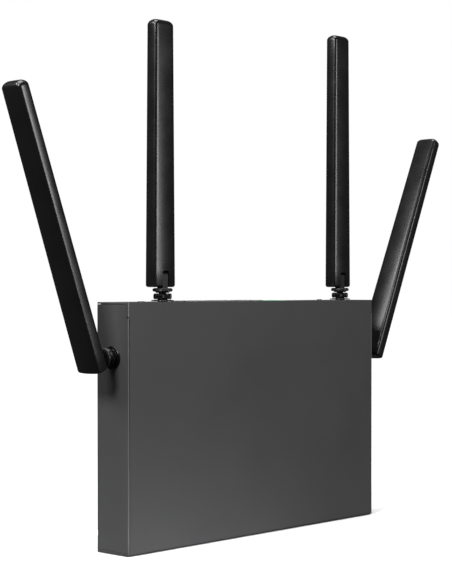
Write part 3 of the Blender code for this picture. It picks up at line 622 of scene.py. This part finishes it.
def make_socket_contacts(number, x, top):
    """Eight sprung gold wires that lean from the mouth down into the socket."""
    high_y = SOCKET_Y + SOCKET_HEIGHT / 2
    curve = bpy.data.curves.new(f"socket_contacts_{number}", "CURVE")
    curve.dimensions = "3D"
    curve.bevel_depth = 0.17 * MM
    curve.bevel_resolution = 2
    curve.use_fill_caps = True
    for i in range(8):
        wire_x = x + (i - 3.5) * CONTACT_PITCH
        route = (
            (wire_x, high_y - 0.75 * MM, top - 1.3 * MM),
            (wire_x, high_y - 0.65 * MM, top - 2.2 * MM),
            (wire_x, high_y - 1.2 * MM, top - 4.5 * MM),
            (wire_x, high_y - 2.9 * MM, top - 9.6 * MM),
            (wire_x, high_y - 3.0 * MM, top - 10.4 * MM),
        )
        spline = curve.splines.new("POLY")
        spline.points.add(len(route) - 1)
        for point, spot in zip(spline.points, route):
            point.co = (*spot, 1)
        spline.use_smooth = True
    holder = bpy.data.objects.new("contacts", curve)
    mesh = bpy.data.meshes.new_from_object(holder)
    bpy.data.objects.remove(holder)
    name = f"socket_contacts_{number}"
    add_piece(name, mesh, "case", MATERIALS["jack_brass"], "jack_brass")


def make_socket_lamps(number, x, top):
    """The two small lenses on each side of a socket's latch slot."""
    front = SOCKET_Y - SOCKET_HEIGHT / 2 - 2.0 * MM
    for side, label, material in ((-1, "link", GREEN_LENS), (1, "traffic", AMBER)):
        middle = x + side * 4.9 * MM
        bm = bmesh.new()
        add_box(bm, (middle - 1.1 * MM, front, top - 0.6 * MM), (middle + 1.1 * MM, front + 1.2 * MM, top + 0.02 * MM))
        name = f"socket_lamp_{label}_{number}"
        piece = add_piece(name, mesh_from(bm, name), "case", material, "clear_plastic")
        soften(piece, 0.12 * MM)


def make_optical_port():
    carried("optical_receptacle", 0.3 * MM, 3)
    carried("optical_dust_plug", 0.2 * MM, 3)
    carried("optical_transceiver", 0.3 * MM, 2)


def make_usb():
    """The steel shell, its white tongue and four contacts."""
    carried("usb_port", 0.12 * MM, 2)
    low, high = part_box("usb_port")
    wall = 0.7 * MM
    back = high.y - 3 * wall
    skin = 0.12 * MM
    bm = bmesh.new()
    add_box(
        bm,
        (low.x + 2 * wall - skin, back - 1.8 * MM - skin, high.z - 13.5 * MM),
        (high.x - 2 * wall + skin, back + skin, high.z - wall + skin),
    )
    piece = add_piece("usb_tongue", mesh_from(bm, "usb_tongue"), "case", MATERIALS["white_plastic"], "white_plastic")
    soften(piece, 0.25 * MM, 3)
    middle = (low.x + high.x) / 2
    bm = bmesh.new()
    for i in range(4):
        x = middle + (i - 1.5) * 2.5 * MM
        front = back - 1.8 * MM - skin
        add_box(bm, (x - 0.5 * MM, front - 0.12 * MM, high.z - 9 * MM), (x + 0.5 * MM, front + 0.05 * MM, high.z - 1.6 * MM))
    piece = add_piece("usb_contacts", mesh_from(bm, "usb_contacts"), "case", MATERIALS["jack_brass"], "jack_brass")
    soften(piece, 0.05 * MM)


def make_power_jack():
    """The jack's body, its bright centre pin and the sleeve spring in its wall."""
    carried("power_jack", 0.25 * MM, 2)
    low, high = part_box("power_jack")
    x = (low.x + high.x) / 2
    y = low.y + (high.x - low.x) / 2
    base = high.z - 11 * MM
    length = 10 * MM
    place = Matrix.Translation((x, y, base))
    pin = rounded([(0, length), (0.75 * MM, length), (1.05 * MM, length - 0.8 * MM), (1.05 * MM, 0), (0, 0)], 0.3 * MM)
    mesh = turned("power_jack_pin", pin, place, steps=40)
    add_piece("power_jack_pin", mesh, "case", MATERIALS["bare_steel"], "bare_steel")
    ring = rounded(
        [
            (3.10 * MM, length - 0.4 * MM),
            (3.10 * MM, length - 3 * MM),
            (2.95 * MM, length - 3 * MM),
            (2.95 * MM, length - 0.4 * MM),
        ],
        0.04 * MM,
    )
    mesh = turned("power_jack_sleeve", ring, place, closed=True, steps=48)
    add_piece("power_jack_sleeve", mesh, "case", MATERIALS["bare_steel"], "bare_steel")


def make_button(node):
    """A round plunger with a soft rim and a slightly dished top."""
    low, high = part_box(node)
    radius = (high.x - low.x) / 2
    place = Matrix.Translation(((low.x + high.x) / 2, (low.y + high.y) / 2, low.z))
    length = high.z - low.z
    profile = rounded(
        [
            (0, length - 0.10 * MM),
            (radius * 0.55, length - 0.06 * MM),
            (radius * 0.80, length),
            (radius, length - 0.25 * MM),
            (radius, 0),
            (0, 0),
        ],
        0.22 * MM,
        4,
    )
    mesh = turned(node + "_fine", profile, place, steps=48)
    slot = SLOT_OF[node]
    add_piece(node + "_fine", mesh, BODY_OF[node], MATERIALS[slot], slot, node)


def make_ports():
    make_sockets()
    make_optical_port()
    make_usb()
    make_power_jack()
    for node in ("power_switch", "pairing_switch", "reset_switch", "processor"):
        carried(node, 0.25 * MM, 2)
    for node in ("power_button", "pairing_button", "reset_button"):
        make_button(node)
    carried("led_light_pipe", 0.15 * MM, 2)
    carried("heatsink", 0.15 * MM, 2)
    carried("radio_shield_can", 0.2 * MM, 2)


# ---------------------------------------------------------------- antennas


class AntennaFrame:
    """Where an antenna sits: its mount space at the case wall and its blade space at the pivot."""

    def __init__(self, name):
        swivel = JOINTS[name + "_swivel"]
        fold = JOINTS[name + "_fold"]
        surface = Vector(swivel["pos_m"])
        pivot = Vector(fold["pos_m"])
        out = (pivot - surface).normalized()
        across = Vector(fold["axis"])
        back = out.cross(across)
        turn = Matrix((across, back, out)).transposed().to_4x4()
        straight = -math.radians(fold["range_deg"][0])
        self.name = name
        self.mount = Matrix.Translation(surface) @ turn
        self.blade = Matrix.Translation(pivot) @ turn @ Matrix.Rotation(straight, 4, "X")
        self.pivot_height = (pivot - surface).length

    def bounds(self, piece, space):
        """Lowest and highest corner of one of its CAD nodes in one of its own spaces."""
        inverse = space.inverted()
        spots = [inverse @ v.co for v in NODES[f"{self.name}_{piece}"].data.vertices]
        low = Vector([min(p[i] for p in spots) for i in range(3)])
        high = Vector([max(p[i] for p in spots) for i in range(3)])
        return low, high


PADDLE_TAPER = 0.865
PADDLE_OFFSET = 1.8 * MM
PADDLE_RIDGE = 2.2 * MM
PADDLE_CROWN = 1.0 * MM
TIP_CROWN = 0.15 * MM
RIDGE_START = math.radians(18)
SIDE_CROWN = 0.10 * MM
TIP_DOME = 3.4 * MM
FOOT_ROUND = 1.3 * MM
SLOT_HALF = 2.65 * MM
SLOT_TOP = 2.8 * MM
SLOT_ROUND = 1.2 * MM


def paddle_section(half_width, half_depth, inset, crown):
    """One closed ring: crowned broad faces, nearly flat sides and soft ridges between them."""
    width = half_width - inset
    depth = half_depth - inset
    ridge = min(PADDLE_RIDGE, width * 0.9, depth * 0.9)
    face_steps = 12
    ridge_steps = 6
    side_steps = 4
    flat = width - ridge
    tall = depth - ridge
    quarter = []
    for i in range(face_steps // 2 + 1):
        x = flat * i / (face_steps // 2)
        quarter.append((x, -depth + crown * (x / width) ** 2))
    start_y = quarter[-1][1]
    reach_y = -tall - start_y
    first = RIDGE_START * crown / PADDLE_CROWN
    for i in range(1, ridge_steps + 1):
        angle = first + (math.pi / 2 - first) * i / ridge_steps
        over = (math.sin(angle) - math.sin(first)) / (1 - math.sin(first))
        down = (math.cos(first) - math.cos(angle)) / math.cos(first)
        quarter.append((flat + (ridge - SIDE_CROWN) * over, start_y + reach_y * down))
    for i in range(1, side_steps // 2 + 1):
        y = -tall * (1 - i / (side_steps // 2))
        quarter.append((width - SIDE_CROWN * (y / depth) ** 2, y))
    lower_right = quarter
    upper_right = [(x, -y) for x, y in reversed(quarter[:-1])]
    upper_left = [(-x, -y) for x, y in quarter[1:]]
    lower_left = [(-x, y) for x, y in reversed(quarter[1:-1])]
    return lower_right + upper_right + upper_left + lower_left


def paddle_stations(low, high):
    """(height, inset) pairs from the foot to the tip."""
    stations = []
    for i in range(5):
        angle = math.pi / 2 * i / 4
        stations.append((low + FOOT_ROUND * (1 - math.sin(angle)), FOOT_ROUND * (1 - math.cos(angle))))
    stations.reverse()
    body = [(low + FOOT_ROUND + (high - TIP_DOME - low - FOOT_ROUND) * i / 16, 0.0) for i in range(1, 17)]
    tip = []
    for i in range(1, 9):
        angle = math.pi / 2 * i / 8
        tip.append((high - TIP_DOME + TIP_DOME * math.sin(angle), TIP_DOME * (1 - math.cos(angle))))
    return stations + body + tip


def make_paddle(antenna):
    low, high = antenna.bounds("paddle", antenna.blade)
    half_width = (high.x - low.x) / 2
    half_depth = (high.y - low.y) / 2
    length = high.z - low.z
    bm = bmesh.new()
    rings = []
    for height, inset in paddle_stations(low.z, high.z):
        along = (height - low.z) / length
        shrink = 1 - (1 - PADDLE_TAPER) * along
        crown = PADDLE_CROWN + (TIP_CROWN - PADDLE_CROWN) * along
        ring = []
        for x, y in paddle_section(half_width * shrink, half_depth * shrink, inset, crown):
            ring.append(bm.verts.new((x, y + PADDLE_OFFSET, height)))
        rings.append(ring)
    count = len(rings[0])
    for lower, upper in zip(rings, rings[1:]):
        for i in range(count):
            j = (i + 1) % count
            bm.faces.new((lower[i], lower[j], upper[j], upper[i]))
    bm.faces.new(list(reversed(rings[0])))
    bm.faces.new(rings[-1])
    mesh = mesh_from(bm, antenna.name + "_shell", 50)
    mesh = carve(mesh, [slot_tool(low), bore_tool()])
    bm = bmesh.new()
    bm.from_mesh(mesh)
    bmesh.ops.remove_doubles(bm, verts=bm.verts, dist=0.000002)
    bm.transform(antenna.blade)
    mesh = mesh_from(bm, antenna.name + "_shell", 38)
    node = antenna.name + "_paddle"
    shell = add_piece(node + "_fine", mesh, BODY_OF[node], MATERIALS["antenna_plastic"], "antenna_plastic", node)
    soften(shell, 0.25 * MM, 2, 45)


def slot_tool(low):
    """The room that the tongue folds in, with rounded upper corners."""
    bm = bmesh.new()
    verts = add_box(bm, (-SLOT_HALF, low.y - MM, low.z - MM), (SLOT_HALF, SLOT_TOP, SLOT_TOP))
    upright = [e for e in bm.edges if all(v.co.z > 0 for v in e.verts) and abs(e.verts[0].co.x - e.verts[1].co.x) < MM]
    bmesh.ops.bevel(bm, geom=upright, offset=SLOT_ROUND, segments=4, profile=0.5, affect="EDGES")
    mesh = bpy.data.meshes.new("slot_tool")
    bm.to_mesh(mesh)
    bm.free()
    return mesh


def bore_tool():
    bm = bmesh.new()
    turn = Matrix.Rotation(math.radians(90), 4, "Y")
    bmesh.ops.create_cone(bm, cap_ends=True, segments=32, radius1=1.8 * MM, radius2=1.8 * MM, depth=10 * MM, matrix=turn)
    mesh = bpy.data.meshes.new("bore_tool")
    bm.to_mesh(mesh)
    bm.free()
    return mesh


def make_tongue(antenna):
    """Stem, neck, grooved ring and the flat knuckle with its trunnions."""
    low, high = antenna.bounds("base", antenna.mount)
    ring = (high.x - low.x) / 2
    ring_low = 5.9 * MM
    ring_top = 8.1 * MM
    neck = 4.1 * MM
    groove = 0.22 * MM
    middle = (ring_low + ring_top) / 2
    profile = rounded(
        [
            (0, ring_top),
            (ring - 1.2 * MM, ring_top),
            (ring, ring_top - 0.5 * MM),
            (ring, middle + groove),
            (ring - groove, middle),
            (ring, middle - groove),
            (ring, ring_low + 0.5 * MM),
            (ring - 0.9 * MM, ring_low),
            (neck, ring_low),
            (neck, 5.2 * MM),
            (2.2 * MM, 5.2 * MM),
            (2.2 * MM, low.z),
            (0, low.z),
        ],
        0.3 * MM,
        3,
    )
    bm = bmesh.new()
    ring_mesh(bm, profile, Matrix.Identity(4), 80)
    half = 2.25 * MM
    radius = 2.4 * MM
    pivot = antenna.pivot_height
    steps = 24
    outline = [(radius, ring_top - MM), (radius, pivot)]
    outline += [(radius * math.cos(math.pi * i / steps), pivot + radius * math.sin(math.pi * i / steps)) for i in range(1, steps)]
    outline += [(-radius, pivot), (-radius, ring_top - MM)]
    left = [bm.verts.new((-half, y, z)) for y, z in outline]
    right = [bm.verts.new((half, y, z)) for y, z in outline]
    for i in range(len(outline)):
        j = (i + 1) % len(outline)
        bm.faces.new((left[i], left[j], right[j], right[i]))
    bm.faces.new(left)
    bm.faces.new(list(reversed(right)))
    turn = Matrix.Translation((0, 0, pivot)) @ Matrix.Rotation(math.radians(90), 4, "Y")
    bmesh.ops.create_cone(bm, cap_ends=True, segments=32, radius1=1.5 * MM, radius2=1.5 * MM, depth=9.4 * MM, matrix=turn)
    bmesh.ops.recalc_face_normals(bm, faces=bm.faces)
    bm.transform(antenna.mount)
    node = antenna.name + "_base"
    mesh = mesh_from(bm, node + "_fine", 35)
    piece = add_piece(node + "_fine", mesh, BODY_OF[node], KNUCKLE, "antenna_plastic", node)
    soften(piece, 0.2 * MM, 2, 60)


def make_collar(antenna):
    """The coupling nut: a fine straight knurl between two plain bands."""
    low, high = antenna.bounds("collar", antenna.mount)
    radius = (high.x - low.x) / 2
    inner = 3.4 * MM
    mouth = 2.5 * MM
    lip = high.z - 0.7 * MM
    outer = [
        (mouth, high.z),
        (radius - 0.7 * MM, high.z),
        (radius - 0.15 * MM, high.z - 0.4 * MM),
        (radius - 0.15 * MM, high.z - 0.8 * MM),
        (radius, high.z - 0.95 * MM),
        (radius, low.z + 0.75 * MM),
        (radius - 0.15 * MM, low.z + 0.6 * MM),
        (radius - 0.3 * MM, low.z),
        (inner, low.z),
        (inner, lip),
        (mouth, lip),
    ]
    teeth = 60
    steps = teeth * 2
    bm = bmesh.new()
    ring_mesh(bm, outer, Matrix.Identity(4), steps, closed=True)
    depth = 0.16 * MM
    for vert in bm.verts:
        out = Vector((vert.co.x, vert.co.y))
        if abs(out.length - radius) < 0.01 * MM:
            index = round(math.atan2(out.y, out.x) / math.tau * steps)
            if index % 2:
                vert.co.x *= 1 - depth / radius
                vert.co.y *= 1 - depth / radius
    bmesh.ops.recalc_face_normals(bm, faces=bm.faces)
    bm.transform(antenna.mount)
    node = antenna.name + "_collar"
    add_piece(
        node + "_fine", mesh_from(bm, node + "_fine", 18), BODY_OF[node], MATERIALS["black_metal"], "black_metal", node
    )


def make_panel_nut(antenna):
    """A thin round nut with a bevelled rim and a shallow step."""
    low, high = antenna.bounds("panel_nut", antenna.mount)
    radius = (high.x - low.x) / 2
    inner = 3.4 * MM
    profile = [
        (inner, high.z),
        (radius * 0.72, high.z),
        (radius * 0.76, high.z - 0.18 * MM),
        (radius - 0.35 * MM, high.z - 0.22 * MM),
        (radius - 0.08 * MM, high.z - 0.42 * MM),
        (radius, high.z - 0.6 * MM),
        (radius, low.z),
        (inner, low.z),
    ]
    node = antenna.name + "_panel_nut"
    mesh = turned(node + "_fine", profile, antenna.mount, closed=True)
    add_piece(node + "_fine", mesh, BODY_OF[node], MATERIALS["black_metal"], "black_metal", node)


def make_jack(antenna):
    """The bulkhead jack, in black metal, with thread ridges outside and a crimped ferrule inside."""
    low, high = antenna.bounds("jack", antenna.mount)
    thread = 3.1 * MM
    root = 2.85 * MM
    pitch = 0.5 * MM
    profile = [(0, high.z), (2.1 * MM, high.z), (root, high.z - 0.2 * MM)]
    height = high.z - 0.4 * MM
    while height > -0.8 * MM:
        profile.append((thread, height))
        profile.append((root, height - pitch / 2))
        height -= pitch
    flange_top = -1.3 * MM
    flange_low = flange_top - 2.2 * MM
    body_low = low.z + 3.4 * MM
    profile += [
        (thread, flange_top),
        (4.5 * MM, flange_top),
        (4.6 * MM, flange_top - 0.2 * MM),
        (4.6 * MM, flange_low + 0.2 * MM),
        (4.5 * MM, flange_low),
        (thread, flange_low),
        (thread, body_low + 0.3 * MM),
        (2.8 * MM, body_low),
        (1.6 * MM, body_low),
        (1.6 * MM, low.z + 0.2 * MM),
        (1.4 * MM, low.z),
        (0, low.z),
    ]
    node = antenna.name + "_jack"
    mesh = turned(node + "_fine", profile, antenna.mount, steps=56)
    add_piece(node + "_fine", mesh, BODY_OF[node], MATERIALS["black_metal"], "black_metal", node)


def make_antennas():
    for name in ANTENNAS:
        antenna = AntennaFrame(name)
        make_jack(antenna)
        make_panel_nut(antenna)
        make_collar(antenna)
        make_tongue(antenna)
        make_paddle(antenna)
        for polygon in NODES[name + "_pigtail"].data.polygons:
            polygon.use_smooth = True


# ---------------------------------------------------------------- studio


def make_floor():
    """A wide, flat, pale floor."""
    bm = bmesh.new()
    bmesh.ops.create_grid(bm, x_segments=8, y_segments=8, size=6.0)
    mesh = mesh_from(bm, "floor")
    floor = bpy.data.objects.new("floor", mesh)
    bpy.context.scene.collection.objects.link(floor)
    floor.location.z = -0.0003
    s = Surface("floor_paint", (0.86, 0.86, 0.86), 0.75)
    s.set(Specular_IOR_Level=0.2)
    s.tint(s.noise(3, 3.0), (0.88, 0.88, 0.88))
    s.rough(s.noise(40, 3.0), 0.05)
    mesh.materials.append(s.done())
    floor.visible_glossy = False
    floor.visible_diffuse = False


def softbox(name, place, target, width, height, power):
    light = bpy.data.lights.new(name, "AREA")
    light.shape = "RECTANGLE"
    light.size = width
    light.size_y = height
    light.energy = power
    lamp = bpy.data.objects.new(name, light)
    bpy.context.scene.collection.objects.link(lamp)
    lamp.location = place
    aim = Vector(target) - Vector(place)
    lamp.rotation_euler = aim.to_track_quat("-Z", "Y").to_euler()
    lamp.visible_camera = False
    return lamp


def make_world():
    """White behind everything, with only a low grey glow on the object itself."""
    world = bpy.data.worlds.new("studio")
    bpy.context.scene.world = world
    world.use_nodes = True
    nodes = world.node_tree.nodes
    links = world.node_tree.links
    nodes.clear()
    seen = nodes.new("ShaderNodeBackground")
    seen.inputs["Color"].default_value = (1, 1, 1, 1)
    seen.inputs["Strength"].default_value = 1.0
    glow = nodes.new("ShaderNodeBackground")
    glow.inputs["Color"].default_value = (1, 1, 1, 1)
    glow.inputs["Strength"].default_value = 0.06
    path = nodes.new("ShaderNodeLightPath")
    mix = nodes.new("ShaderNodeMixShader")
    output = nodes.new("ShaderNodeOutputWorld")
    links.new(path.outputs["Is Camera Ray"], mix.inputs["Fac"])
    links.new(glow.outputs["Background"], mix.inputs[1])
    links.new(seen.outputs["Background"], mix.inputs[2])
    links.new(mix.outputs["Shader"], output.inputs["Surface"])


def ceiling(strength):
    """A broad even light straight down, which whitens the floor out to the horizon."""
    light = bpy.data.lights.new("ceiling", "SUN")
    light.energy = strength
    light.angle = math.radians(50)
    lamp = bpy.data.objects.new("ceiling", light)
    bpy.context.scene.collection.objects.link(lamp)


def make_lights():
    ceiling(3.8)
    softbox("front_right", (1.16, -2.77, 0.62), (0, 0, 0.16), 0.70, 1.1, 31)
    softbox("back_left", (-0.72, 0.36, 0.84), (0.12, 0, 0.16), 0.40, 0.40, 6.0)
    softbox("side_key", (-0.88, -0.28, 0.76), (-0.11, 0, 0.10), 0.26, 0.26, 10)
    low = softbox("low_front", (-0.30, -0.42, 0.03), (-0.09, 0, -0.05), 0.20, 0.10, 0.14)
    low.data.spread = math.radians(28)


def make_camera():
    """The picture's own viewpoint: low, level with the top of the case, left of its front."""
    camera = bpy.data.cameras.new("camera")
    camera.sensor_width = 36
    camera.lens = 94.13
    camera.clip_start = 0.01
    camera.clip_end = 50
    holder = bpy.data.objects.new("camera", camera)
    bpy.context.scene.collection.objects.link(holder)
    yaw = math.radians(46.96)
    pitch = math.radians(-0.20)
    forward = Vector((math.sin(yaw) * math.cos(pitch), math.cos(yaw) * math.cos(pitch), math.sin(pitch)))
    holder.location = (-0.7097, -0.6466, 0.1539)
    holder.rotation_euler = forward.to_track_quat("-Z", "Y").to_euler()
    bpy.context.scene.camera = holder


make_camera()
make_world()
make_lights()
make_floor()
bpy.context.scene.view_settings.view_transform = "Standard"
dress_nodes()
make_case()
make_ports()
make_antennas()
